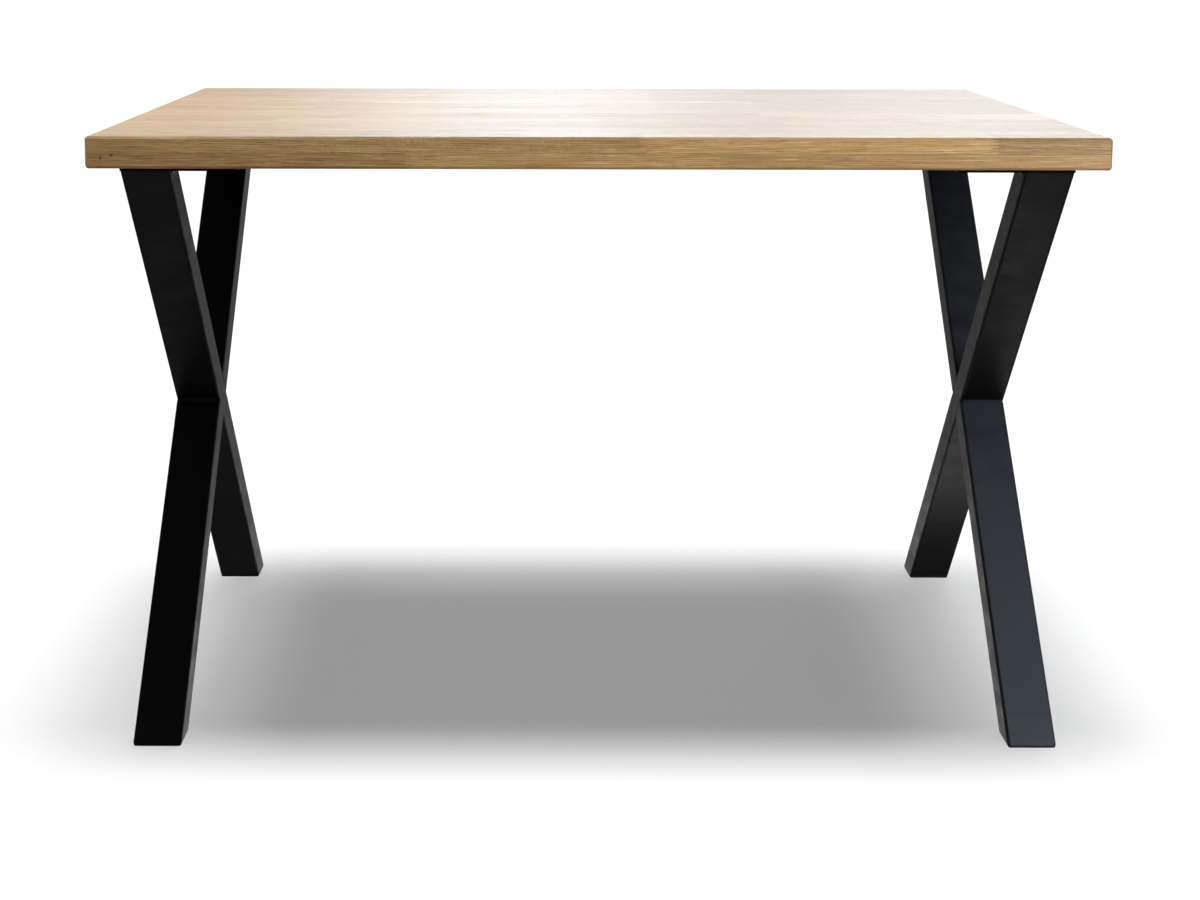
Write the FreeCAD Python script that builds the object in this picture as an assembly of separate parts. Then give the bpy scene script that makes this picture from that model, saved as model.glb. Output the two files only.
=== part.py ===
import FreeCAD, Part

import math
import os

# Sawbuck table: a finger-jointed oak top, doubled at its edges, on two welded X frames of
# rectangular steel tube.  Millimetres.  +X runs along the table, -Y is its front, +Z is up.
# The origin is on the floor, under the middle of the top.

# ---- driving dimensions: tabletop ----
table_length = 1200.0
table_depth = 800.0
table_height = 760.0
layer_thickness = 19.0         # one oak layer; the top's rim is two layers thick
edge_chamfer = 3.0             # along every outer edge of the top
stave_nominal_width = 42.0     # rows are made as near to this as fills the depth
stave_length = 470.0           # average length of one stave between finger joints
shortest_stave = 120.0         # no shorter piece is left at the end of a row
edge_strip_rows = 2            # stave rows doubled under the front and the back edge
block_past_plate = 10.0        # doubled wood beyond the inner edge of a frame's plate

# ---- driving dimensions: finger joints ----
finger_length = 10.0
finger_pitch = 4.0
finger_tip = 0.8
finger_tip_gap = 0.3           # at the end of each finger, where spare glue collects
front_top_joints = (652.0, 1062.0)    # from the left end, in the front stave of the upper layer
front_edge_joints = (378.0, 747.0)    # the same, in the front stave of the lower layer

# ---- driving dimensions: X frames ----
frame_inset = 30.0             # from the end of the top to a frame's outer face
tube_width = 60.0              # along X
tube_depth = 40.0              # across the leg, in the plane of the X
tube_wall = 2.0
tube_corner = 4.0              # outer corner radius of the tube
leg_inset_top = 75.0           # from the front edge of the top to a leg's centre, at the plate
leg_inset_foot = 72.0          # the same, at the foot
plate_flange = 80.0            # how far the plate reaches past the inner side of the legs
plate_thickness = 8.0
plate_corner = 10.0
crotch_weld = 3.0              # leg length of the welds in the corners of the crossing
plate_weld = 4.0               # leg length of the welds under the plate
plate_weld_short = 10.0        # how far the side weld stops short of a leg's edges

# ---- driving dimensions: feet ----
end_cap_thickness = 3.0
glide_thickness = 3.0
glide_inset = 0.8
glide_corner = 3.5
glide_chamfer = 0.5
glide_stem_diameter = 8.0
glide_stem_past_cap = 4.0
stem_clearance = 0.15

# ---- driving dimensions: fasteners ----
bolts_per_plate = 4
bolt_end_margin = 75.0         # from the end of the plate to the first bolt
bolt_diameter = 8.0
bolt_short_of_insert = 5.0     # from the bolt's tip to the top of its insert
bolt_head_width = 13.0         # across flats
bolt_head_height = 5.3
bolt_head_chamfer = 0.6
washer_diameter = 24.0
washer_thickness = 2.0
washer_clearance = 0.2
slot_width = 9.0
slot_length = 18.0             # end to end, across the grain of the wood
insert_diameter = 12.0
insert_clearance = 0.1
insert_hole_past_insert = 1.0
insert_cover = 3.0             # of the lower layer, left above an insert's hole
thread_clearance = 0.1

# ---- sizes that follow ----
top_thickness = 2 * layer_thickness
under_top = table_height - top_thickness
layer_seam = table_height - layer_thickness
row_count = max(2 * edge_strip_rows + 1, round(table_depth / stave_nominal_width))
stave_width = table_depth / row_count
left_end = -table_length / 2
front_edge = -table_depth / 2
plate_width = tube_width + plate_flange
block_length = frame_inset + plate_width + block_past_plate

plate_bottom = under_top - plate_thickness
leg_span_top = table_depth - 2 * leg_inset_top
leg_span_foot = table_depth - 2 * leg_inset_foot
frame_x = table_length / 2 - frame_inset - tube_width / 2
foot_cut = glide_thickness
tube_cut = glide_thickness + end_cap_thickness
lean = math.atan2((leg_span_top + leg_span_foot) / 2, plate_bottom - foot_cut)
half_footprint = tube_depth / 2 / math.cos(lean)
crossing_z = foot_cut + (plate_bottom - foot_cut) * leg_span_foot / (leg_span_top + leg_span_foot)
plate_length = leg_span_top + 2 * half_footprint
plate_weld_length = 2 * (half_footprint - plate_weld_short)
seam_weld_dish = 0.1 * tube_corner      # how far a ground weld lies below the tube's side
seam_weld_root = 0.4 * tube_corner      # from the start of the corner's curve to the weld's root
seam_weld_width = tube_corner - seam_weld_dish - seam_weld_root

bolt_x = frame_x - tube_width / 2 - plate_flange / 2
insert_hole_depth = layer_thickness - insert_cover
insert_length = insert_hole_depth - insert_hole_past_insert
bolt_length = washer_thickness + plate_thickness + insert_length - bolt_short_of_insert

# Unit vectors in the plane of an X frame, both upwards: one leg rises to the front, one to the back.
UP_FRONT = FreeCAD.Vector(0, -math.sin(lean), math.cos(lean))
UP_BACK = FreeCAD.Vector(0, math.sin(lean), math.cos(lean))
X_AXIS = FreeCAD.Vector(1, 0, 0)
Y_AXIS = FreeCAD.Vector(0, 1, 0)
Z_AXIS = FreeCAD.Vector(0, 0, 1)

PARTS_FOLDER = "parts"
SAME_PLACE = 1e-6              # closer than this counts as the same place


def save(name, solids):
    """Write one node: a single solid, or a group of separate solids."""
    shape = solids[0] if len(solids) == 1 else Part.makeCompound(solids)
    shape.exportStep(os.path.join(PARTS_FOLDER, name + ".step"))
    print(name, len(solids), "solids", round(sum(solid.Volume for solid in solids)), "mm3")


def box_between(low, high):
    """A box from its lowest corner to its highest corner."""
    low_corner = FreeCAD.Vector(*low)
    size = FreeCAD.Vector(*high) - low_corner
    return Part.makeBox(size.x, size.y, size.z, low_corner)


def edges_along(shape, direction):
    """The straight edges of a shape that run along a direction."""
    found = []
    for edge in shape.Edges:
        run = edge.valueAt(edge.LastParameter) - edge.valueAt(edge.FirstParameter)
        if abs(abs(run.dot(direction)) - run.Length) < SAME_PLACE:
            found.append(edge)
    return found


# ---------------------------------------------------------------- tabletop

def top_envelope():
    """The outside of the finished top, with its chamfered edges."""
    board = box_between(
        (left_end, front_edge, under_top),
        (-left_end, -front_edge, table_height))
    return board.makeChamfer(edge_chamfer, board.Edges)


def stave_joints(row):
    """Where the finger joints of a row lie, measured from the left end of the top."""
    position = stave_length * (0.35 + 0.65 * ((0.618 * row) % 1.0))
    joints = []
    while position < table_length - shortest_stave:
        joints.append(position)
        position += stave_length * (0.8 + 0.4 * ((0.382 * row + 0.29 * len(joints)) % 1.0))
    return joints


def joint_line(x, z_low, z_high, forward_gap, back_gap):
    """The end of one stave at a finger joint, from bottom to top, as points in the XZ plane.

    It starts and ends halfway along a finger's side, so that the joint is tight at the surface.
    The gaps cut the tips off the fingers that point forward (+X) and off those that point back.
    """
    fingers = max(1, round((z_high - z_low) / finger_pitch))
    half_pitch = (z_high - z_low) / fingers / 2
    taper = (half_pitch - finger_tip) / finger_length
    points = [(x, z_low)]
    for half in range(2 * fingers):
        direction, gap = (1, forward_gap) if half % 2 == 0 else (-1, back_gap)
        tip_x = x + direction * (finger_length / 2 - gap)
        tip_z = z_low + (half + 0.5) * half_pitch
        half_tip = finger_tip / 2 + gap * taper
        points.append((tip_x, tip_z - half_tip))
        points.append((tip_x, tip_z + half_tip))
    points.append((x, z_high))
    return points


def stave(start, end, y):
    """One length of oak, between the lines of its left and its right end, one row wide."""
    outline = start + end[::-1]
    corners = [FreeCAD.Vector(x, y, z) for x, z in outline]
    face = Part.Face(Part.makePolygon(corners + corners[:1]))
    return face.extrude(Y_AXIS * stave_width)


def stave_row(joints, row, z_low, z_high, envelope):
    """A full row: its lengths of oak, finger-jointed end to end and trimmed to the finished top."""
    y = front_edge + row * stave_width
    places = [left_end + joint for joint in joints
              if finger_length < joint < table_length - finger_length]
    starts = [[(left_end, z_low), (left_end, z_high)]]
    starts += [joint_line(x, z_low, z_high, 0.0, finger_tip_gap) for x in places]
    ends = [joint_line(x, z_low, z_high, finger_tip_gap, 0.0) for x in places]
    ends += [[(-left_end, z_low), (-left_end, z_high)]]
    lengths = [stave(start, end, y) for start, end in zip(starts, ends)]
    return [length.common(envelope).Solids[0] for length in lengths]


def make_upper_layer(envelope):
    for row in range(row_count):
        joints = front_top_joints if row == 0 else stave_joints(row)
        solids = stave_row(joints, row, layer_seam, table_height, envelope)
        save("top_stave_row_%02d" % (row + 1), solids)


def bolt_positions():
    """The Y positions of the bolts along a plate."""
    first = -plate_length / 2 + bolt_end_margin
    step = -2 * first / (bolts_per_plate - 1)
    return [first + number * step for number in range(bolts_per_plate)]


def insert_holes():
    """The holes for the threaded inserts, over both frames."""
    radius = insert_diameter / 2 + insert_clearance
    return Part.makeCompound([
        Part.makeCylinder(radius, insert_hole_depth, FreeCAD.Vector(side * bolt_x, y, under_top))
        for side in (-1, 1) for y in bolt_positions()])


def bored(solids, holes):
    """The same solids with the holes cut out of them."""
    return [solid.cut(holes).Solids[0] for solid in solids]


def make_edge_strips(envelope, holes):
    """The second layer under the front and the back edge."""
    for strip in range(edge_strip_rows):
        front_row = strip
        back_row = row_count - 1 - strip
        front_joints = front_edge_joints if strip == 0 else stave_joints(row_count + strip)
        back_joints = stave_joints(2 * row_count + strip)
        front = stave_row(front_joints, front_row, under_top, layer_seam, envelope)
        back = stave_row(back_joints, back_row, under_top, layer_seam, envelope)
        save("front_edge_stave_%d" % (strip + 1), bored(front, holes))
        save("back_edge_stave_%d" % (strip + 1), bored(back, holes))


def make_end_blocks(envelope, holes):
    """The second layer over the frames: short staves between the edge strips."""
    for side, name in ((-1, "left"), (1, "right")):
        outer, inner = side * table_length / 2, side * (table_length / 2 - block_length)
        low_x, high_x = min(outer, inner), max(outer, inner)
        blocks = []
        for row in range(edge_strip_rows, row_count - edge_strip_rows):
            y = front_edge + row * stave_width
            block = box_between((low_x, y, under_top), (high_x, y + stave_width, layer_seam))
            blocks.append(block.common(envelope))
        save(name + "_end_block_staves", bored(blocks, holes))


# ---------------------------------------------------------------- X frames

def leg_bar(width, depth, corner, up, shift=0.0):
    """A long solid bar along one leg's centre line, with rounded long edges.

    shift moves it along X within the leg's own width.
    """
    reach = table_height
    bar = Part.makeBox(width, depth, 2 * reach, FreeCAD.Vector(shift - width / 2, -depth / 2, -reach))
    if corner > 0:
        bar = bar.makeFillet(corner, edges_along(bar, Z_AXIS))
    turn = FreeCAD.Rotation(Z_AXIS, up)
    bar.Placement = FreeCAD.Placement(FreeCAD.Vector(0, 0, crossing_z), turn)
    return bar


def slab(z_low, z_high):
    """Everything between two heights."""
    reach = table_depth
    return box_between((-reach, -reach, z_low), (reach, reach, z_high))


def leg_tube(up):
    """One leg at full length, hollow, cut level at the end cap and at the plate."""
    outer = leg_bar(tube_width, tube_depth, tube_corner, up)
    bore = leg_bar(tube_width - 2 * tube_wall, tube_depth - 2 * tube_wall,
                   tube_corner - tube_wall, up)
    return outer.cut(bore).common(slab(tube_cut, plate_bottom))


def half_legs():
    """The leg that is cut in two at the crossing: its upper and its lower half."""
    through = leg_bar(tube_width, tube_depth, 0.0, UP_FRONT)
    halves = leg_tube(UP_BACK).cut(through).Solids
    halves.sort(key=lambda solid: solid.CenterOfMass.z)
    lower, upper = halves
    return upper, lower


def prism_along_x(corners, length):
    """A bar along X, centred, whose section is given as points in the YZ plane."""
    moved = [point - X_AXIS * (length / 2) for point in corners]
    face = Part.Face(Part.makePolygon(moved + moved[:1]))
    return face.extrude(X_AXIS * length)


def crotch_welds():
    """Fillet welds in the four inner corners of the crossing."""
    centre = FreeCAD.Vector(0, 0, crossing_z)
    beside = Y_AXIS * half_footprint
    above = Z_AXIS * (tube_depth / 2 / math.sin(lean))
    corners = (
        (centre - beside, UP_FRONT, -UP_BACK),
        (centre + beside, UP_BACK, -UP_FRONT),
        (centre + above, UP_FRONT, UP_BACK),
        (centre - above, -UP_FRONT, -UP_BACK))
    length = tube_width - 2 * tube_corner
    return [prism_along_x([corner, corner + one * crotch_weld, corner + other * crotch_weld], length)
            for corner, one, other in corners]


def seam_welds():
    """Ground welds that fill the rounded corners of the through leg beside the half legs."""
    through = leg_bar(tube_width, tube_depth, tube_corner, UP_FRONT)
    footprint = leg_bar(tube_width, tube_depth - 2 * tube_corner, 0.0, UP_BACK)
    centre_shift = tube_width / 2 - seam_weld_dish - seam_weld_width / 2
    solids = []
    for side in (-1, 1):
        strip = leg_bar(seam_weld_width, tube_depth, 0.0, UP_FRONT, side * centre_shift)
        solids += strip.cut(through).common(footprint).Solids
    return solids


def plate_welds(inward):
    """Fillet welds under the plate: behind each leg and along its inner side."""
    solids = []
    inner_side = inward * tube_width / 2
    for leg_side, down in ((-1, -UP_FRONT), (1, -UP_BACK)):
        centre = leg_side * leg_span_top / 2
        corner = FreeCAD.Vector(0, centre - leg_side * half_footprint, plate_bottom)
        along_plate = corner - Y_AXIS * (leg_side * plate_weld)
        solids.append(prism_along_x([corner, along_plate, corner + down * plate_weld],
                                    tube_width - 2 * tube_corner))
        start = FreeCAD.Vector(inner_side, centre - plate_weld_length / 2, plate_bottom)
        section = [start, start + X_AXIS * (inward * plate_weld), start - Z_AXIS * plate_weld]
        face = Part.Face(Part.makePolygon(section + section[:1]))
        solids.append(face.extrude(Y_AXIS * plate_weld_length))
    return solids


def bolt_slot(x, y):
    """A slot through the plate, long across the grain of the wood."""
    reach = (slot_length - slot_width) / 2
    height = plate_thickness
    ends = [Part.makeCylinder(slot_width / 2, height, FreeCAD.Vector(x, y + offset, plate_bottom))
            for offset in (-reach, reach)]
    middle = box_between((x - slot_width / 2, y - reach, plate_bottom),
                         (x + slot_width / 2, y + reach, plate_bottom + height))
    return ends[0].fuse([ends[1], middle]).removeSplitter()


def top_plate(inward):
    """The plate, flush with the outer face of the legs and wider on the inner side."""
    outer, inner = -inward * tube_width / 2, inward * (plate_width - tube_width / 2)
    plate = box_between((min(outer, inner), -plate_length / 2, plate_bottom),
                        (max(outer, inner), plate_length / 2, under_top))
    inner_corners = [edge for edge in edges_along(plate, Z_AXIS)
                     if abs(edge.CenterOfMass.x - inner) < SAME_PLACE]
    plate = plate.makeFillet(plate_corner, inner_corners)
    bolt_offset = inward * (frame_x - bolt_x)
    for y in bolt_positions():
        plate = plate.cut(bolt_slot(bolt_offset, y))
    return plate


def foot_centres():
    """The centre of each leg where it is cut at the foot."""
    return [(up, leg_side * leg_span_foot / 2) for up, leg_side in ((UP_FRONT, 1), (UP_BACK, -1))]


def end_caps():
    """Flat caps welded over the lower ends of the legs, bored for the glides."""
    solids = []
    for up, y in foot_centres():
        bar = leg_bar(tube_width, tube_depth, tube_corner, up)
        hole = Part.makeCylinder(glide_stem_diameter / 2 + stem_clearance, 2 * end_cap_thickness,
                                 FreeCAD.Vector(0, y, foot_cut - end_cap_thickness / 2))
        solids.append(bar.common(slab(foot_cut, tube_cut)).cut(hole))
    return solids


def foot_glides():
    """Glides that the table stands on, each with a stem pressed through its end cap."""
    solids = []
    half_x = tube_width / 2 - glide_inset
    half_y = half_footprint - glide_inset
    for _, y in foot_centres():
        pad = box_between((-half_x, y - half_y, 0), (half_x, y + half_y, glide_thickness))
        pad = pad.makeFillet(glide_corner, edges_along(pad, Z_AXIS))
        rim = [edge for edge in pad.Edges if abs(edge.BoundBox.ZMax) < SAME_PLACE]
        pad = pad.makeChamfer(glide_chamfer, rim)
        stem = Part.makeCylinder(glide_stem_diameter / 2,
                                 end_cap_thickness + glide_stem_past_cap,
                                 FreeCAD.Vector(0, y, glide_thickness))
        solids.append(pad.fuse(stem))
    return solids


# ---------------------------------------------------------------- fasteners

def hex_bolt(x, y):
    """A hex bolt, head down, up through the washer and the plate into the insert."""
    seat = plate_bottom - washer_thickness
    corner_radius = bolt_head_width / 2 / math.cos(math.radians(30))
    points = [FreeCAD.Vector(x + corner_radius * math.cos(math.radians(60 * turn)),
                             y + corner_radius * math.sin(math.radians(60 * turn)),
                             seat - bolt_head_height) for turn in range(6)]
    head = Part.Face(Part.makePolygon(points + points[:1])).extrude(Z_AXIS * bolt_head_height)
    blank = Part.makeCylinder(corner_radius, bolt_head_height,
                              FreeCAD.Vector(x, y, seat - bolt_head_height))
    lower_rim = [edge for edge in blank.Edges
                 if abs(edge.BoundBox.ZMax - blank.BoundBox.ZMin) < SAME_PLACE]
    head = head.common(blank.makeChamfer(bolt_head_chamfer, lower_rim))
    shank = Part.makeCylinder(bolt_diameter / 2, bolt_length, FreeCAD.Vector(x, y, seat))
    return head.fuse(shank)


def ring(outer_radius, inner_radius, height, base):
    """A flat or tall ring that stands on its base point."""
    return Part.makeCylinder(outer_radius, height, base).cut(
        Part.makeCylinder(inner_radius, height, base))


def washer(x, y):
    return ring(washer_diameter / 2, bolt_diameter / 2 + washer_clearance, washer_thickness,
                FreeCAD.Vector(x, y, plate_bottom - washer_thickness))


def threaded_insert(x, y):
    return ring(insert_diameter / 2, bolt_diameter / 2 + thread_clearance, insert_length,
                FreeCAD.Vector(x, y, under_top))


def make_frame(side, name):
    """One X frame: side is -1 for the left frame and 1 for the right one."""
    inward = -side

    def put(node, solids):
        placed = [solid.translated(X_AXIS * (side * frame_x)) for solid in solids]
        save(name + "_" + node, placed)

    upper, lower = half_legs()
    put("through_leg", [leg_tube(UP_FRONT)])
    put("upper_half_leg", [upper])
    put("lower_half_leg", [lower])
    put("crossing_welds", crotch_welds() + seam_welds())
    put("top_plate", [top_plate(inward)])
    put("plate_welds", plate_welds(inward))
    put("leg_end_caps", end_caps())
    put("foot_glides", foot_glides())

    places = [(side * bolt_x, y) for y in bolt_positions()]
    save(name + "_plate_bolts", [hex_bolt(x, y) for x, y in places])
    save(name + "_plate_washers", [washer(x, y) for x, y in places])
    save(name + "_threaded_inserts", [threaded_insert(x, y) for x, y in places])


def main():
    os.makedirs("parts", exist_ok=True)
    envelope = top_envelope()
    holes = insert_holes()
    make_upper_layer(envelope)
    make_edge_strips(envelope, holes)
    make_end_blocks(envelope, holes)
    make_frame(-1, "left")
    make_frame(1, "right")


main()
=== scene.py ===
# %% [markdown]
# # A sawbuck table in oiled oak and black steel
# The table stands on two X frames of rectangular steel tube. Its top is glued up from many short
# lengths of oak, and its rim is two layers thick. The solids come from the CAD model, which is
# loaded first. They fix every size and place, so nothing here is fitted by eye: a piece that is
# made again reads its size from the solid that it stands for.

# %% Load the frame
import math
import random

import bmesh
import bpy
from mathutils import Matrix, Vector


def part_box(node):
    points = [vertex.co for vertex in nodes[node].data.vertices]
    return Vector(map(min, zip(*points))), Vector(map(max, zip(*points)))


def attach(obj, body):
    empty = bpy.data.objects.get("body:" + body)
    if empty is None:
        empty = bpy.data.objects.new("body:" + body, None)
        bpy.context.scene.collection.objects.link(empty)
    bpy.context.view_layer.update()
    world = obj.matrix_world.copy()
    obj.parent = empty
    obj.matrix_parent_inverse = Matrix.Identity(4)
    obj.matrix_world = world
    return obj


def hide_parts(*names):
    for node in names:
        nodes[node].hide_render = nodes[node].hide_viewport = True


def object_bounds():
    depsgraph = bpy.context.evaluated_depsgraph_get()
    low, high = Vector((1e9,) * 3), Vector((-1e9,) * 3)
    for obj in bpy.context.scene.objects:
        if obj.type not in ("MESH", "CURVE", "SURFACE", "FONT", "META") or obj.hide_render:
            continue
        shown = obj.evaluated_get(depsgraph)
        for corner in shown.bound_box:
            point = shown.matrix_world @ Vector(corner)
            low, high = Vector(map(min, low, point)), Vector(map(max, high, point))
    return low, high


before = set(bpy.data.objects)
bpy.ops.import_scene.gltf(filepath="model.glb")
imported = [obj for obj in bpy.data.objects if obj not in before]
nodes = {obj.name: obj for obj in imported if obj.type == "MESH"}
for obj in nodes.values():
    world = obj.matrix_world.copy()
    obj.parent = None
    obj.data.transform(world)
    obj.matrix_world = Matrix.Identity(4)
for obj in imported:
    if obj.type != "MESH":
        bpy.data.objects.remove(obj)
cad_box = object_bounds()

print("the frame has", len(nodes), "nodes")

# %% [markdown]
# ## Camera
# A table is best judged from where a person stands who is about to sit down: a little above the
# top, far enough back that the legs don't splay. The camera is placed by numbers, as a matrix
# whose columns are its right, up and backward directions. A small shift of the lens frames the
# feet without tilting the camera further, which would make the legs lean together.

# %% Camera
camera_place = Vector((-0.0613, -2.6648, 0.978))
camera_pitch = 0.1179           # radians below the horizon
camera_roll = -0.002            # radians

ahead = Vector((0, math.cos(camera_pitch), -math.sin(camera_pitch)))
right = Vector((1, 0, 0))
down = ahead.cross(right)
rolled_right = right * math.cos(camera_roll) + down * math.sin(camera_roll)
rolled_down = down * math.cos(camera_roll) - right * math.sin(camera_roll)

lens = bpy.data.cameras.new("camera")
lens.sensor_fit = "HORIZONTAL"
lens.sensor_width = 36
lens.lens = 58.58
lens.shift_x = 0.0449
lens.shift_y = -0.2249
lens.clip_end = 300

camera = bpy.data.objects.new("camera", lens)
turn = Matrix((rolled_right, -rolled_down, -ahead)).transposed()
camera.matrix_world = Matrix.Translation(camera_place) @ turn.to_4x4()
bpy.context.scene.collection.objects.link(camera)
bpy.context.scene.camera = camera
print("camera", lens.lens, "mm, at", tuple(camera_place))

# %% [markdown]
# ## Shader maths
# A finish is a tree of nodes. Wiring it by hand takes a dozen lines for one sum, so two small
# classes do it. `Amount` wraps one socket, and its operators add the Math nodes, so that
# `1 - mask * 0.5` is written as it is said. `Tree` owns the nodes, and its `add` makes any node
# from a type, its settings, and the values or links of its sockets. A `Finish` is the tree of
# one material.

# %% One output that can stand in a sum
class Amount:
    """One output of a shader tree, which can stand in a sum."""

    def __init__(self, tree, socket):
        self.tree = tree
        self.socket = socket

    def other(self, name):
        """Another output of the same node."""
        return Amount(self.tree, self.socket.node.outputs[name])

    def __add__(self, b):
        return self.tree.math("ADD", self, b)

    def __sub__(self, b):
        return self.tree.math("SUBTRACT", self, b)

    def __rsub__(self, b):
        return self.tree.math("SUBTRACT", b, self)

    def __mul__(self, b):
        return self.tree.math("MULTIPLY", self, b)

    def __truediv__(self, b):
        return self.tree.math("DIVIDE", self, b)

    def __abs__(self):
        return self.tree.math("ABSOLUTE", self)

    __radd__ = __add__
    __rmul__ = __mul__


# %% A tree of shader nodes
class Tree:
    """The nodes of one material or of the world."""

    def __init__(self, node_tree):
        self.node_tree = node_tree

    def add(self, kind, settings=None, sockets=None, out=0):
        node = self.node_tree.nodes.new(kind)
        for name, value in (settings or {}).items():
            setattr(node, name, value)
        for name, value in (sockets or {}).items():
            self.plug(node.inputs[name], value)
        return Amount(self, node.outputs[out])

    def plug(self, socket, value):
        if isinstance(value, Amount):
            self.node_tree.links.new(value.socket, socket)
        else:
            socket.default_value = value

    def math(self, operation, *values):
        return self.add("ShaderNodeMath", {"operation": operation}, dict(enumerate(values)))

    def vector(self, operation, *values):
        return self.add("ShaderNodeVectorMath", {"operation": operation}, dict(enumerate(values)))

    def scaled(self, colour, amount):
        """A colour or a vector times one number."""
        return self.add("ShaderNodeVectorMath", {"operation": "SCALE"},
                        {0: colour, "Scale": amount})

    def split(self, vector):
        x = self.add("ShaderNodeSeparateXYZ", sockets={0: vector})
        return x, x.other("Y"), x.other("Z")

    def joined(self, x, y, z):
        return self.add("ShaderNodeCombineXYZ", sockets={0: x, 1: y, 2: z})

    def step(self, value, low, high):
        """0 below low, 1 above high, and a soft rise between them. low may be above high."""
        flipped = low > high
        return self.add(
            "ShaderNodeMapRange", {"interpolation_type": "SMOOTHSTEP"},
            {"Value": value, "From Min": min(low, high), "From Max": max(low, high),
             "To Min": 1.0 if flipped else 0.0, "To Max": 0.0 if flipped else 1.0})

    def noise(self, vector, detail=2.0, scale=1.0, roughness=0.5):
        return self.add("ShaderNodeTexNoise", None, {
            "Vector": vector, "Scale": scale, "Detail": detail, "Roughness": roughness})

    def mixed(self, amount, a, b):
        """Colour a where amount is 0, colour b where it is 1."""
        return self.add("ShaderNodeMix", {"data_type": "RGBA"}, {0: amount, 6: a, 7: b}, out=2)


# %% A material and its colours
class Finish(Tree):
    """One material and its nodes."""

    def __init__(self, name):
        self.material = bpy.data.materials.new(name)
        self.material.use_nodes = True
        super().__init__(self.material.node_tree)
        self.shader = self.node_tree.nodes["Principled BSDF"]

    def set(self, **sockets):
        """Sets sockets of the Principled shader: words joined by _ stand for the socket's name."""
        for name, value in sockets.items():
            self.plug(self.shader.inputs[name.replace("_", " ")], value)


def srgb(red, green, blue):
    """A colour as a paint chart gives it, 0 to 255, turned into the linear numbers of a shader."""
    linear = []
    for part in (red / 255, green / 255, blue / 255):
        linear.append(part / 12.92 if part <= 0.04045 else ((part + 0.055) / 1.055) ** 2.4)
    return (*linear, 1.0)


print("mid grey on a paint chart is", round(srgb(128, 128, 128)[0], 3), "in a shader")

# %% [markdown]
# ## Studio
# The floor is a pale sweep that runs to the horizon. It glows a little by itself and doesn't
# light the object, which is how a cut-out product picture looks. A strip light runs overhead
# along the table. It is drawn as soft suns that come from the left, from straight above and from
# the right, so that the shadow on the floor fades slowly at its two ends. Each of them is split
# in two, and the smaller share passes through the last rows of the top, which softens the back
# of the shadow more than the front. A window to the right of the camera brightens the front
# towards the right.
#
# The world is white where the camera sees it. As a light it is dim all round, so that black
# steel stays black. A wall behind the table is brighter: its upper part lays a glare on the
# oiled top, strongest in the middle, and the floor behind it shines on the sides of the legs.
# Small panels do the rest. Two hang over the top, with a faint soft sun above them, and one
# stands to its left. Three light the right frame from the front, and flat glows at floor level
# light the faces that look down.

# %% Floor
floor_half = 120.0              # metres from its middle to its edge
floor_shape = bmesh.new()
bmesh.ops.create_grid(floor_shape, x_segments=1, y_segments=1, size=floor_half)
floor_mesh = bpy.data.meshes.new("studio_floor")
floor_shape.to_mesh(floor_mesh)
floor_shape.free()
floor = bpy.data.objects.new("studio_floor", floor_mesh)
bpy.context.scene.collection.objects.link(floor)

floor_paint = Finish("pale_floor_paint")
floor_paint.set(Base_Color=(0.78, 0.78, 0.78, 1), Roughness=0.95, Specular_IOR_Level=0.0,
                Emission_Color=(0.99, 1, 1.01, 1), Emission_Strength=0.19)
floor.data.materials.append(floor_paint.material)
floor.visible_diffuse = False
floor.visible_glossy = False
print("floor", 2 * floor_half, "m wide")

# %% World by direction
bpy.context.scene.view_settings.view_transform = "Standard"
world = bpy.data.worlds.new("studio")
bpy.context.scene.world = world
world.use_nodes = True
sky = Tree(world.node_tree)
east, north, high = sky.split(sky.add("ShaderNodeTexCoord", out="Generated"))
sideways = east / sky.math("MAXIMUM", north, 0.1)
print("the world is read by direction: east, north and high run from -1 to 1")

# %% [markdown]
# The wall's pattern is drawn by direction. `high` is the height of a direction above the
# horizon, and `sideways` is how far it lies to the right of straight behind the table. The oiled
# top mirrors what lies above the horizon, and only `sideways` matters for it, because at such a
# flat angle its sheen is stretched upwards. The sides of the legs look inwards, so the right
# frame mirrors the far left and the left frame the far right, with the height falling from the
# top of the legs to their feet.

# %% The wall and the floor behind the table
wall = sky.step(north, 0.45, 0.95) * sky.step(high, 0.6, 0.12)
above = sky.step(high, 0.042, 0.118)
middle_glare = sky.step(sideways, -0.18, 0.0) - sky.step(sideways, 0.01, 0.10) * 0.49
right_glare = sky.step(sideways, 0.11, 0.21)
side_share, middle_share, right_share = 0.9, 4.9, 1.48
glare = above * (side_share + middle_glare * middle_share + right_glare * right_share)

wall_foot = sky.step(high, -0.11, -0.2)
floor_behind = sky.step(high, -0.25, -0.31)
floor_near = sky.step(high, -0.36, -0.42)
far_left = sky.step(sideways, -0.04, -0.18)
usual_shine, left_shine, lost_near = 1.35, 0.35, 1.3
shine = floor_behind * (usual_shine + far_left * (left_shine - floor_near * lost_near))

wall_strength, lost_at_foot = 0.34, 0.33
wall_light = wall_strength - wall_foot * lost_at_foot + shine + glare
floor_below = sky.step(high, -0.4, -0.9)
room_light = 0.065 + floor_below * 0.03
light_strength = room_light + wall * wall_light

seen_strength = 1.1
by_camera = sky.add("ShaderNodeLightPath", out="Is Camera Ray")
warm_white = (1, 0.993, 0.972, 1)
cool_white = (0.89, 0.98, 1.07, 1)
background = world.node_tree.nodes["Background"]
sky.plug(background.inputs["Strength"],
         light_strength * (1 - by_camera) + by_camera * seen_strength)
sky.plug(background.inputs["Color"], sky.mixed(middle_glare * above, warm_white, cool_white))
print("world has", len(world.node_tree.nodes), "nodes")


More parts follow.
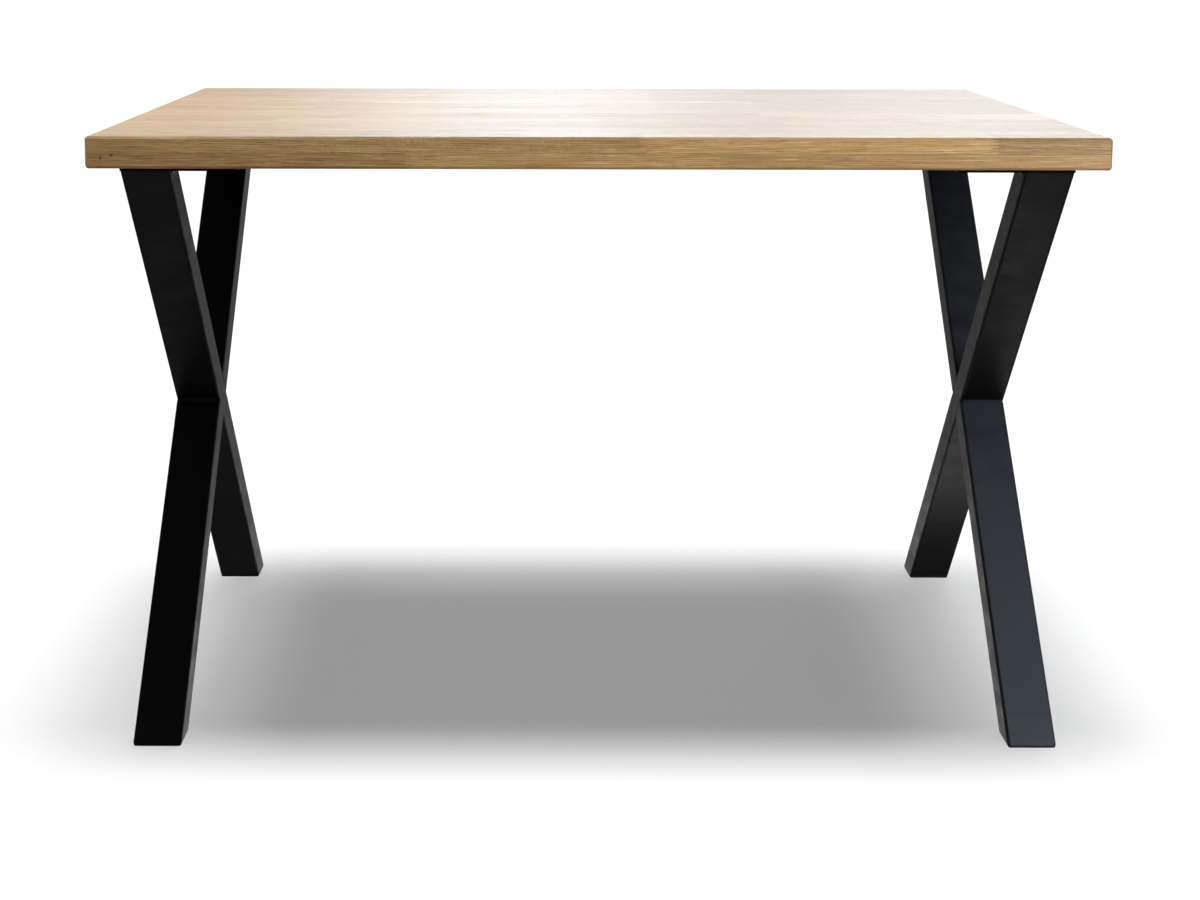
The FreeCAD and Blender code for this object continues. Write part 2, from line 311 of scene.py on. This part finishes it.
# %% Lights and flat panels
def light(name, kind, place, target, energy, colour, **settings):
    """A light that looks from its place at a target."""
    lamp = bpy.data.lights.new(name, kind)
    lamp.energy = energy
    lamp.color = colour
    for key, value in settings.items():
        setattr(lamp, key, value)
    lamp_object = bpy.data.objects.new(name, lamp)
    aim = (Vector(target) - Vector(place)).to_track_quat("-Z", "Y")
    lamp_object.matrix_world = Matrix.Translation(place) @ aim.to_matrix().to_4x4()
    lamp_object.visible_camera = False
    bpy.context.scene.collection.objects.link(lamp_object)
    return lamp_object


def panel(name, place, target, watts, colour, wide, deep, **settings):
    """A flat light of wide by deep metres."""
    return light(name, "AREA", place, target, watts, colour,
                 shape="RECTANGLE", size=wide, size_y=deep, **settings)


print("a light is made from its place, target, strength and colour")

# %% Strip light overhead
strip_energy = 1.07
strip_blur = math.radians(17)
past_the_back = 0.3
strip_leans = {"left": -0.64, "middle": 0.0, "right": 0.78}
strip_lights = {}
for reach, share in (("full", 1 - past_the_back), ("short", past_the_back)):
    strip_lights[reach] = [
        light("strip_%s_%s" % (reach, side), "SUN", (lean, -0.07, 4), (0, 0, 0),
              share * strip_energy, (1, 1, 1), angle=strip_blur)
        for side, lean in strip_leans.items()]
print("the strip light is", sum(map(len, strip_lights.values())), "soft suns")

# %% Lights for the wood
sky_panel = light("sky_panel", "SUN", (-0.3, 0.3, 4), (0, 0, 0), 0.2, (1.0, 0.99, 0.98),
                  angle=math.radians(40))
right_panel = panel("right_panel", (0.22, 0.0, 1.28), (0.22, 0.0, 0.76), 1.2,
                    (1.0, 0.98, 0.96), 0.6, 0.9)
left_card = panel("left_card", (-2.4, -0.45, 0.8), (-0.6, 0.0, 0.74), 8.0,
                  (1.0, 0.99, 0.96), 0.8, 0.8)
left_panel = panel("left_panel", (-0.78, 0.0, 1.28), (-0.78, 0.0, 0.76), 4.4,
                   (1.0, 0.98, 0.96), 0.8, 0.9)
window = panel("window", (2.1, -2.6, 1.2), (0.45, 0, 0.6), 72, (1.0, 0.965, 0.91), 1.6, 1.4)
wood_lights = [sky_panel, left_panel, right_panel, left_card, window]
print(len(wood_lights), "lights for the wood")

# %% Lights for the frames
side_card = panel("side_card", (1.5, -1.6, 1.2), (0.6, -0.2, 0.2), 4.8, (0.62, 0.76, 1.08),
                  0.7, 0.7, spread=math.radians(60))
steel_panel = panel("steel_panel", (2.1, -2.6, 2.2), (0.45, 0, 0.4), 18,
                    (1.0, 0.99, 0.98), 1.6, 1.4)
high_panel = panel("high_panel", (0.9, -1.8, 2.4), (0.54, -0.1, 0.3), 13,
                   (0.92, 0.985, 1.03), 1.0, 0.8)
glow_height = 0.004
floor_glows = {
    side: panel("floor_glow_" + side, (x, -0.25, glow_height), (x, -0.25, 1), watts,
                (1.0, 1.0, 1.0), 0.14, 0.5)
    for side, x, watts in (("left", -0.58, 0.12), ("right", 0.58, 0.53))}
rear_glow = panel("rear_glow", (0.54, 0.06, glow_height), (0.54, 0.06, 1), 0.17,
                  (1.0, 1.0, 0.97), 0.2, 0.2)
print("lights:", [item.name for item in bpy.data.lights])

# %% [markdown]
# ## Oiled oak
# Oak is ring-porous: each year starts with a band of wide pores and ends in dense, smooth wood.
# The pores show as short dark dashes along the grain, and the rays, thin plates of pale tissue
# that run from the heart outwards, show as flecks on a quarter-sawn face. Fine fibres, paler and
# darker than the rest, run the length of a board in hair-thin lines. A flat picture of grain
# would not turn the corner from face to edge, so the pattern here is a solid one: every point
# asks how far it lies from the heart of the tree that its own length was cut from. Each length
# carries three small vectors on its points: `log` says where the heart of its tree is, `cut` says
# how the length leans against the heart and how much fleck it shows, and `shade` says how dark
# and how red it is.

# %% Sizes from the CAD rows
row_low, row_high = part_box("top_stave_row_01")
stave_width = row_high.y - row_low.y
front_edge = row_low.y
layer_seam = row_low.z
print("the front edge is at", round(front_edge, 4), "and its seam at", round(layer_seam, 4), "m")

# %% Where a point lies in its own tree
oak = Finish("oiled_oak")
place = oak.add("ShaderNodeTexCoord", out="Object")
normal = place.other("Normal")
log = oak.add("ShaderNodeAttribute", {"attribute_name": "log"}, out="Vector")
cut = oak.add("ShaderNodeAttribute", {"attribute_name": "cut"}, out="Vector")
shade = oak.add("ShaderNodeAttribute", {"attribute_name": "shade"}, out="Vector")

lean_y, lean_z, fleck_share = oak.split(cut)
darkness, redness, _ = oak.split(shade)
along, across, up = oak.split(oak.vector("SUBTRACT", place, log))


def drawn_out(rates, y, z, start=None, **settings):
    """Noise that changes so many times per metre along the grain and across it."""
    rate_along, rate_across = rates
    x = along * rate_along
    if start is not None:
        x = x + start
    return oak.noise(oak.joined(x, y * rate_across, z * rate_across), **settings)


wander_by_y, wander_by_z = 0.009, 0.007     # metres
far_from_the_first = 7.3
wander_y = drawn_out((2.6, 9), across, up, detail=3) - 0.5
wander_z = drawn_out((3.1, 8), across, up, start=far_from_the_first, detail=3) - 0.5
heart_y = across + along * lean_y + wander_y * wander_by_y
heart_z = up + along * lean_z + wander_z * wander_by_z
radius = oak.math("SQRT", heart_y * heart_y + heart_z * heart_z)
usual_radius = 0.11
around = oak.math("ARCTAN2", heart_z, heart_y) * usual_radius
print("the heart wanders by a few millimetres along a length")

# %% Years and pores
year_width = 0.0023
uneven_by = 3.5                 # years
uneven_years = oak.noise(oak.joined(radius * 55, 0.0, along * 0.7), detail=1)
years = radius / year_width + uneven_years * uneven_by
year = oak.math("FRACT", years)
this_year = oak.add("ShaderNodeTexWhiteNoise", {"noise_dimensions": "1D"},
                    {"W": oak.math("FLOOR", years)})
pore_band = oak.step(year, 0.0, 0.06) * oak.step(year, 0.52, 0.16)
pore_cells = drawn_out((75, 1500), heart_y, heart_z, detail=1.5)
late_pores = 0.2                # share of pores outside the band
pores = oak.step(pore_cells, 0.52, 0.66) * (pore_band * (1 - late_pores) + late_pores)
print("oak years are", year_width * 1000, "mm wide")

# %% Fibres, streaks, clouds and rays
fibres = drawn_out((14, 760), heart_y, heart_z, detail=2, roughness=0.6)
streaks = drawn_out((4, 330), heart_y, heart_z, detail=3, roughness=0.6)
clouds = drawn_out((4, 22), across, up, detail=2)
ray_cells = oak.noise(oak.joined((along - around * 6) * 750, (along + around * 7) * 95,
                                 radius * 30), detail=1)
ray_patches = oak.noise(oak.joined(along * 9, around * 300, radius * 28), detail=1)
flecks = oak.step(ray_cells, 0.53, 0.64) * oak.step(ray_patches, 0.46, 0.60) * fleck_share
print("the grain has", len(oak.node_tree.nodes), "nodes so far")

# %% Oak colours
late_wood = srgb(210, 172, 116)
# What lies over the late wood, in order: how much of it shows, and its colour
layers = {
    "pore wood": (pore_band * 0.9, srgb(185, 145, 92)),
    "red wood": (redness, srgb(186, 137, 92)),
    "rosy streaks": (oak.step(streaks, 0.44, 0.60) * 0.14, srgb(196, 151, 106)),
    "pale fibres": (oak.step(fibres, 0.5, 0.8) * 0.8, srgb(238, 212, 166)),
    "dark fibres": (oak.step(fibres, 0.5, 0.2) * 0.6, srgb(150, 113, 64)),
    "pores": (pores * 0.72, srgb(112, 80, 50)),
    "ray flecks": (flecks * 0.75, srgb(226, 195, 148))}
colour = late_wood
for share, layer_colour in layers.values():
    colour = oak.mixed(share, colour, layer_colour)
print("over the late wood lie", ", ".join(layers))

# %% Lighter and darker wood
# How far each noise takes the tone up and down
swings = ((this_year, 0.12), (fibres, 0.3), (streaks, 0.18), (clouds, 0.14))
tone = 1.0 - darkness
for noise, swing in swings:
    tone = tone + (noise - 0.5) * swing
colour = oak.scaled(colour, tone)
print("late wood is", [round(part, 3) for part in late_wood[:3]], "in the shader")

# %% [markdown]
# Three things lie over the grain. A glue line shows as a hair of darker brown wherever two rows
# or the two layers meet. End grain drinks more oil and turns darker. And the lower front strip
# has two pin knots near its left end, where a twig once stood.

# %% Glue lines and end grain
glue_half_width = 0.00022
glue_clear, glue_full = glue_half_width * 1.6, glue_half_width * 0.4
glue_brown = srgb(96, 70, 44)
oiled_brown = srgb(120, 84, 50)
world_x, world_y, world_z = oak.split(place)
facing_x, facing_y, facing_z = oak.split(normal)

row_share = oak.math("FRACT", (world_y - front_edge) / stave_width)
to_row_line = oak.math("MINIMUM", row_share, 1 - row_share) * stave_width
row_line = oak.step(to_row_line, glue_clear, glue_full) * (1 - abs(facing_y))
to_seam = abs(world_z - layer_seam)
seam_line = oak.step(to_seam, glue_clear, glue_full) * (1 - abs(facing_z))
glue = oak.math("MAXIMUM", row_line, seam_line)
colour = oak.mixed(glue * 0.55, colour, glue_brown)

end_grain = oak.step(abs(facing_x), 0.5, 0.95)
colour = oak.mixed(end_grain * 0.38, colour, oiled_brown)
print("glue lines are", 2 * glue_half_width * 1000, "mm wide")

# %% Pin knots
# Each: x, z, half its width, half its height
knots = ((-0.5815, 0.7347, 0.0013, 0.0013), (-0.5687, 0.7383, 0.0018, 0.0010))
knot_slope = 0.4
knot_depth = 0.001
knot_brown = srgb(62, 38, 22)
behind_front_row = front_edge + stave_width
knot_row = oak.step(world_y, behind_front_row, behind_front_row - knot_depth)
for knot_x, knot_z, half_wide, half_high in knots:
    offset_x = (world_x - knot_x) / half_wide
    offset_z = (world_z - knot_z - (world_x - knot_x) * knot_slope) / half_high
    from_knot = oak.math("SQRT", offset_x * offset_x + offset_z * offset_z)
    knot = oak.step(from_knot, 2.0, 0.5) * knot_row
    colour = oak.mixed(knot * 0.8, colour, knot_brown)
print(len(knots), "pin knots")

# %% Oak surface
relief = 0.0 - pores * 0.8 + fibres * 0.25 - glue * 0.5 + flecks * 0.1
oak_bump = oak.add("ShaderNodeBump", None,
                   {"Strength": 0.45, "Distance": 0.00012, "Height": relief})
dullness = (0.40 + pores * 0.18 + (clouds - 0.5) * 0.10 + (fibres - 0.5) * 0.06
            + end_grain * 0.12 - flecks * 0.05)
oak.set(Base_Color=colour, Roughness=dullness, Normal=oak_bump)
print("oak finish has", len(oak.node_tree.nodes), "nodes")

# %% [markdown]
# ## The boards
# Each row of the top is made of several lengths of oak, joined end to end by finger joints that
# were cut into their ends. The fingers lie one above another, so they show on the edge of the
# top, while the top face shows only a straight line. A hair's breadth stays free beyond each
# fingertip, where spare glue collects. A length is drawn as one flat outline with its zigzag
# ends and extruded across the row. Planes then cut the chamfers off, as the moulder does, and a
# fine bevel takes the sharpness off them, as the sander does. The lengths stay separate shells,
# so each can carry its own grain.

# %% Sizes of the top
top_low, top_high = Vector(cad_box[0]), Vector(cad_box[1])
under_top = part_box("front_edge_stave_1")[0].z
table_length = top_high.x - top_low.x
edge_chamfer = 0.003
sanded_edge = 0.0005
finger_length = 0.010
finger_pitch = 0.004
finger_tip = 0.0008
finger_tip_gap = 0.0003
stave_length = 0.470
shortest_stave = 0.120
row_names = sorted(name for name in nodes if name.startswith("top_stave_row_"))
row_count = len(row_names)
print(row_count, "rows, each", round(stave_width * 1000, 2), "mm wide")


# %% Finger joints
def stave_joints(row):
    """Where the joints of a row lie, from the left end of the top.

    The lengths vary in fixed steps, which scatters the joints of neighbouring rows.
    """
    share = (0.618 * row) % 1.0
    position = stave_length * (0.35 + 0.65 * share)
    joints = []
    while position < table_length - shortest_stave:
        joints.append(position)
        share = (0.382 * row + 0.29 * len(joints)) % 1.0
        position += stave_length * (0.8 + 0.4 * share)
    return joints


def joint_line(x, z_low, z_high, forward_gap, back_gap):
    """The end of one length at a joint, from bottom to top, in the XZ plane.

    It starts and ends halfway along a finger's side. The gaps cut the tips off the fingers that
    point forward (+X) and off those that point back.
    """
    fingers = round((z_high - z_low) / finger_pitch)
    half_pitch = (z_high - z_low) / fingers / 2
    taper = (half_pitch - finger_tip) / finger_length
    points = [(x, z_low)]
    for half in range(2 * fingers):
        direction, gap = (1, forward_gap) if half % 2 == 0 else (-1, back_gap)
        tip_x = x + direction * (finger_length / 2 - gap)
        tip_z = z_low + (half + 0.5) * half_pitch
        half_tip = finger_tip / 2 + gap * taper
        points += [(tip_x, tip_z - half_tip), (tip_x, tip_z + half_tip)]
    return points + [(x, z_high)]


print("the second row is joined at", [round(place, 3) for place in stave_joints(1)], "m")


# %% Skin of the finished top
def skin_planes():
    """The outer planes of the finished top: six sides, then the chamfer between each two."""
    sides = []
    for axis in range(3):
        for sign, corner in ((-1, (top_low.x, top_low.y, under_top)), (1, top_high)):
            direction = Vector([float(other == axis) for other in range(3)])
            sides.append((direction * corner[axis], direction * sign))
    chamfers = []
    for number, (point_a, out_a) in enumerate(sides):
        for point_b, out_b in sides[number + 1:]:
            opposite = abs(out_a.dot(out_b)) > 0.5
            if not opposite:
                outward = (out_a + out_b).normalized()
                inset = outward * (edge_chamfer / math.sqrt(2))
                chamfers.append((point_a + point_b - inset, outward))
    return sides, chamfers


sides, chamfers = skin_planes()
near_enough = 1e-6
parallel_enough = 0.999


def on_skin(face):
    """Whether a face is part of the finished outside."""
    middle = face.calc_center_median()
    return any(abs((middle - point).dot(outward)) < near_enough
               and face.normal.dot(outward) > parallel_enough
               for point, outward in sides + chamfers)


print(len(sides), "sides and", len(chamfers), "chamfers")


# %% One length of oak
def add_length(shape, left, right, y_low, y_high, marks):
    """Draws a length's outline, extrudes it across the row and writes its marks on its points."""
    before = set(shape.verts)
    outline = [shape.verts.new((x, y_low, z)) for x, z in left + right[::-1]]
    face = shape.faces.new(outline)
    swept = bmesh.ops.extrude_face_region(shape, geom=[face])["geom"]
    bmesh.ops.translate(shape, vec=(0, y_high - y_low, 0),
                        verts=[item for item in swept if isinstance(item, bmesh.types.BMVert)])
    for point in set(shape.verts) - before:
        for name, value in marks.items():
            point[shape.verts.layers.float_vector[name]] = value


cut_tolerance = 1e-7
flat_enough = 0.99


def cut_chamfers(shape):
    """Cuts the chamfer planes off all lengths of a row and closes the cuts."""
    for point, outward in chamfers:
        everything = shape.verts[:] + shape.edges[:] + shape.faces[:]
        made = bmesh.ops.bisect_plane(shape, geom=everything, dist=cut_tolerance,
                                      plane_co=point, plane_no=outward, clear_outer=True)
        rim = [item for item in made["geom_cut"] if isinstance(item, bmesh.types.BMEdge)]
        if rim:
            bmesh.ops.holes_fill(shape, edges=rim, sides=0)


def sand_edges(shape):
    """Softens the edges where two outer faces meet."""
    bmesh.ops.recalc_face_normals(shape, faces=shape.faces[:])
    outer = {face for face in shape.faces if on_skin(face)}
    edges = [edge for edge in shape.edges
             if len(edge.link_faces) == 2 and all(face in outer for face in edge.link_faces)
             and edge.link_faces[0].normal.dot(edge.link_faces[1].normal) < flat_enough]
    if edges:
        bmesh.ops.bevel(shape, geom=edges, offset=sanded_edge, offset_type="OFFSET", segments=3,
                        profile=0.5, affect="EDGES", clamp_overlap=True, material=-1)


points_at_end = len(joint_line(0, row_low.z, row_high.z, 0, 0))
print("a length starts as a flat outline with", points_at_end, "points at each jointed end")

# %% [markdown]
# The marks of a length are drawn from a seeded random source. The heart of the tree lies 50 to
# 170 mm away from the length, in any direction: straight above or below gives a flat-sawn face
# with arches, and straight beside gives a quarter-sawn face with straight lines and flecks. The
# lengths that show along the front edge are chosen one by one instead, because they are seen
# closest: a browner one lies low on the left, and paler ones lie in the middle.

# %% Marks of the lengths
drawn = random.Random(41)


def marks_of(middle, chosen=None):
    """log, cut and shade for a length whose middle is at (y, z)."""
    angle = drawn.uniform(0, 2 * math.pi)
    distance = drawn.uniform(0.05, 0.17)
    slide = drawn.uniform(-4, 4)
    leans = [drawn.choice((-1, 1)) * drawn.uniform(0.003, 0.018) for _ in range(2)]
    fleck = drawn.choice((0.0, 0.15, 0.3, 0.7))
    dark = drawn.gauss(0.0, 0.055)
    red = max(0.0, drawn.gauss(0.15, 0.22))
    if chosen:
        angle, distance, fleck, dark, red = chosen
        angle = math.radians(angle)
    heart = (middle[0] + distance * math.cos(angle), middle[1] + distance * math.sin(angle))
    return {"log": (slide, *heart), "cut": (*leans, fleck), "shade": (dark, red, 0.0)}


def marked_shape():
    """An empty shape whose points can carry the marks of a length."""
    shape = bmesh.new()
    for mark in ("log", "cut", "shade"):
        shape.verts.layers.float_vector.new(mark)
    return shape


print("marks are drawn anew for each length")


# %% Rows of lengths
def build_row(name, joints, chosen=()):
    """Makes all lengths of the row that stands for a CAD node."""
    low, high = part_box(name)
    shape = marked_shape()
    places = [top_low.x + joint for joint in joints]
    starts = [[(low.x, low.z), (low.x, high.z)]]
    starts += [joint_line(x, low.z, high.z, 0.0, finger_tip_gap) for x in places]
    ends = [joint_line(x, low.z, high.z, finger_tip_gap, 0.0) for x in places]
    ends += [[(high.x, low.z), (high.x, high.z)]]
    middle = ((low.y + high.y) / 2, (low.z + high.z) / 2)
    for number, (left, right) in enumerate(zip(starts, ends)):
        pick = chosen[number] if number < len(chosen) else None
        add_length(shape, left, right, low.y, high.y, marks_of(middle, pick))
    return shape


wooden_pieces = []


def finish_wood(shape, name):
    """Trims a row, writes its mesh and puts it in the place of its CAD node."""
    cut_chamfers(shape)
    sand_edges(shape)
    bmesh.ops.recalc_face_normals(shape, faces=shape.faces[:])
    open_edges = sum(not edge.is_manifold for edge in shape.edges)
    mesh = bpy.data.meshes.new(name + "_oak")
    shape.to_mesh(mesh)
    shape.free()
    mesh.materials.append(oak.material)
    piece = bpy.data.objects.new(name + "_oak", mesh)
    bpy.context.scene.collection.objects.link(piece)
    wooden_pieces.append(piece)
    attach(piece, "root")
    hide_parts(name)
    return open_edges


print("a row is built, trimmed, sanded and put in the place of its node")

# %% Upper layer
front_top_joints = (0.652, 1.062)
# Each: angle and distance of the heart, share of fleck, darkness, redness
front_top_marks = (
    (77, 0.19, 1.0, 0.05, 0.05),
    (62, 0.16, 0.2, -0.12, 0.0),
    (70, 0.12, 0.2, 0.17, 0.15))
faults = 0
for row, name in enumerate(row_names):
    joints = front_top_joints if row == 0 else stave_joints(row)
    faults += finish_wood(build_row(name, joints, front_top_marks if row == 0 else ()), name)
print("upper layer:", row_count, "rows, open edges:", faults)

# %% Edge strips
front_edge_joints = (0.378, 0.747)
front_edge_marks = (
    (66, 0.15, 0.2, 0.05, 0.50),
    (105, 0.17, 0.0, -0.10, 0.0),
    (60, 0.14, 0.2, -0.01, 0.20))
faults = 0
for strip in (0, 1):
    joints = front_edge_joints if strip == 0 else stave_joints(row_count + strip)
    marks = front_edge_marks if strip == 0 else ()
    name = "front_edge_stave_%d" % (strip + 1)
    faults += finish_wood(build_row(name, joints, marks), name)
    name = "back_edge_stave_%d" % (strip + 1)
    faults += finish_wood(build_row(name, stave_joints(2 * row_count + strip)), name)
print("edge strips: 4, open edges:", faults)


# %% End blocks
def build_blocks(name):
    """The short lengths side by side over a frame, one for each row between the edge strips."""
    low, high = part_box(name)
    shape = marked_shape()
    for row in range(round((high.y - low.y) / stave_width)):
        y = low.y + row * stave_width
        ends = [[(x, low.z), (x, high.z)] for x in (low.x, high.x)]
        add_length(shape, ends[0], ends[1], y, y + stave_width,
                   marks_of((y + stave_width / 2, (low.z + high.z) / 2)))
    return shape


for name in ("left_end_block_staves", "right_end_block_staves"):
    print(name, "open edges:", finish_wood(build_blocks(name), name))

# %% [markdown]
# ## Powder coat
# The frames are sprayed with dry powder that melts into one tough film. It lies over every weld
# and corner, so one finish covers the whole frame. Up close the film is slightly pebbled, like
# the skin of an orange. It is nearly black, with a dull sheen. Hands and packing leave smears
# on it that are a little duller than the rest, and specks of dust lie on it. Towards the floor
# the coat is painted paler, which is painted light: it stands in for the light off the floor.

# %% Powder coat finish
coat = Finish("black_powder_coat")
spot = coat.add("ShaderNodeTexCoord", out="Object")
pebbles = coat.noise(spot, detail=2, scale=1300)
waves = coat.noise(spot, detail=2, scale=240)
film = coat.noise(spot, detail=3, scale=9)
smears = coat.noise(coat.vector("MULTIPLY", spot, (22, 22, 50)), detail=3, roughness=0.62)
dust = coat.noise(spot, detail=4, scale=60, roughness=0.7)
height = coat.split(spot)[2]
# Specks of dust lie all over the coat. Within 16 cm of the floor they are painted far denser,
# which is painted light standing in for the light off the floor.
painted_light_near_floor = coat.step(height, 0.16, 0.0)
dust_and_painted_light = coat.step(dust, 0.52, 0.75) * (painted_light_near_floor * 0.6 + 0.12)
coat_black = (0.009, 0.009, 0.009, 1)
# This paler grey is dust, and near the floor painted light.
dust_and_light_grey = (0.06, 0.058, 0.054, 1)
coat_colour = coat.mixed(dust_and_painted_light * 0.35, coat_black, dust_and_light_grey)
coat_colour = coat.scaled(coat_colour, film * 0.6 + smears * 1.4)
coat_bump = coat.add("ShaderNodeBump", None,
                     {"Strength": 0.6, "Distance": 0.00016, "Height": pebbles * 0.6 + waves})
coat_dullness = 0.20 + film * 0.16 + smears * 0.36 + pebbles * 0.08 + dust_and_painted_light * 0.2
coat.set(Base_Color=coat_colour, Roughness=coat_dullness, Normal=coat_bump,
         Specular_IOR_Level=0.3)


def wear(node, finish):
    """Gives a CAD node a finish and leaves its mesh alone."""
    node.data.materials.clear()
    node.data.materials.append(finish.material)


coated_parts = ("through_leg", "upper_half_leg", "lower_half_leg", "crossing_welds",
                "top_plate", "plate_welds", "leg_end_caps")
coated = [name for name in nodes if name.split("_", 1)[1] in coated_parts]
for name in coated:
    wear(nodes[name], coat)
print("coated:", len(coated), "nodes")

# %% [markdown]
# ## Small parts
# The glides under the feet are moulded black plastic with a fine spark-eroded grain. The bolts
# and washers are blackened steel: dark, metallic, a little uneven. The inserts in the wood are
# zinc plated and stay hidden above the plates.

# %% Moulded plastic
plastic = Finish("black_plastic")
plastic_spot = plastic.add("ShaderNodeTexCoord", out="Object")
grain = plastic.noise(plastic_spot, detail=2, scale=2600)
smear = plastic.noise(plastic_spot, detail=3, scale=70)
plastic_black = (0.012, 0.012, 0.012)
plastic_bump = plastic.add("ShaderNodeBump", None,
                           {"Strength": 0.4, "Distance": 0.00004, "Height": grain})
plastic.set(Base_Color=plastic.scaled(plastic_black, 0.7 + smear * 0.6),
            Roughness=0.55 + smear * 0.2, Normal=plastic_bump)
print("plastic has", len(plastic.node_tree.nodes), "nodes")

# %% Blackened steel and zinc
black_steel = Finish("black_oxide_steel")
steel_spot = black_steel.add("ShaderNodeTexCoord", out="Object")
blotches = black_steel.noise(steel_spot, detail=4, scale=240, roughness=0.6)
scratches = black_steel.noise(steel_spot, detail=2, scale=3000)
blued, browned = (0.018, 0.018, 0.02, 1), (0.07, 0.066, 0.06, 1)
steel_bump = black_steel.add("ShaderNodeBump", None,
                             {"Strength": 0.3, "Distance": 0.00003, "Height": scratches})
black_steel.set(Base_Color=black_steel.mixed(blotches, blued, browned), Metallic=0.9,
                Roughness=0.34 + blotches * 0.25, Normal=steel_bump)

zinc = Finish("zinc_insert")
zinc_spot = zinc.add("ShaderNodeTexCoord", out="Object")
crystals = zinc.noise(zinc_spot, detail=3, scale=900)
dull_zinc, bright_zinc = (0.42, 0.43, 0.45, 1), (0.62, 0.62, 0.60, 1)
zinc.set(Base_Color=zinc.mixed(crystals, dull_zinc, bright_zinc), Metallic=1.0,
         Roughness=0.3 + crystals * 0.2)

small_parts = {"foot_glides": plastic, "plate_bolts": black_steel,
               "plate_washers": black_steel, "threaded_inserts": zinc}
for side in ("left", "right"):
    for part, finish in small_parts.items():
        wear(nodes[side + "_" + part], finish)
print("small parts:", 2 * len(small_parts), "nodes")

# %% [markdown]
# ## Which light falls on what
# A photographer flags light off with black cards. Here each light has a list of what it falls
# on. The strip light falls on the floor alone, and only the wood shades it, so the frames
# neither turn grey near the feet nor draw a second shadow. The window, the panels above the top
# and the card at its left light the wood alone. The steel panel, the high panel and the blue
# side card light what faces up on the right frame, so they skip its long leg, whose front looks
# down. That leg has the glows on the floor. They fade towards the crossing, where the lower leg
# comes between.

# %% Light lists
def falls_on(lamp_object, receivers):
    """Limits a light to a list of objects."""
    group = bpy.data.collections.new(lamp_object.name + "_falls_on")
    for receiver in receivers:
        group.objects.link(receiver)
    lamp_object.light_linking.receiver_collection = group


def blocked_by(lamp_object, blockers):
    """Limits what casts a shadow in a light to a list of objects."""
    group = bpy.data.collections.new(lamp_object.name + "_blocked_by")
    for blocker in blockers:
        group.objects.link(blocker)
    lamp_object.light_linking.blocker_collection = group


print("a light can be kept to some pieces, and some pieces can be left out of its shadow")

# %% Strip light and lights for the wood
back_rows = [*row_names[-3:], "back_edge_stave_1", "back_edge_stave_2"]
back_pieces = [name + "_oak" for name in back_rows]
all_but_the_back = [piece for piece in wooden_pieces if piece.name not in back_pieces]
for reach, blockers in (("full", wooden_pieces), ("short", all_but_the_back)):
    for strip_light in strip_lights[reach]:
        falls_on(strip_light, [floor])
        blocked_by(strip_light, blockers)
for wood_light in wood_lights:
    falls_on(wood_light, wooden_pieces)
print(len(wooden_pieces), "wooden pieces, of which", len(back_pieces), "let the strip light past")


# %% Lights for the frames, piece by piece
def metal_of(side):
    """The steel and plastic pieces of one frame that its lights fall on."""
    return [piece for name, piece in nodes.items() if name.startswith(side + "_")
            and "block" not in name and "plate_welds" not in name]


long_leg = nodes["right_through_leg"]
facing_up = [piece for piece in metal_of("right") if piece is not long_leg]
for frame_light in (steel_panel, high_panel, side_card):
    falls_on(frame_light, facing_up)
for side, glow in floor_glows.items():
    falls_on(glow, metal_of(side))
falls_on(rear_glow, [long_leg])
print(len(facing_up), "pieces of the right frame have light from above")

# %% [markdown]
# The box of the CAD model is printed at the end.

print("CAD box", [list(corner) for corner in cad_box])
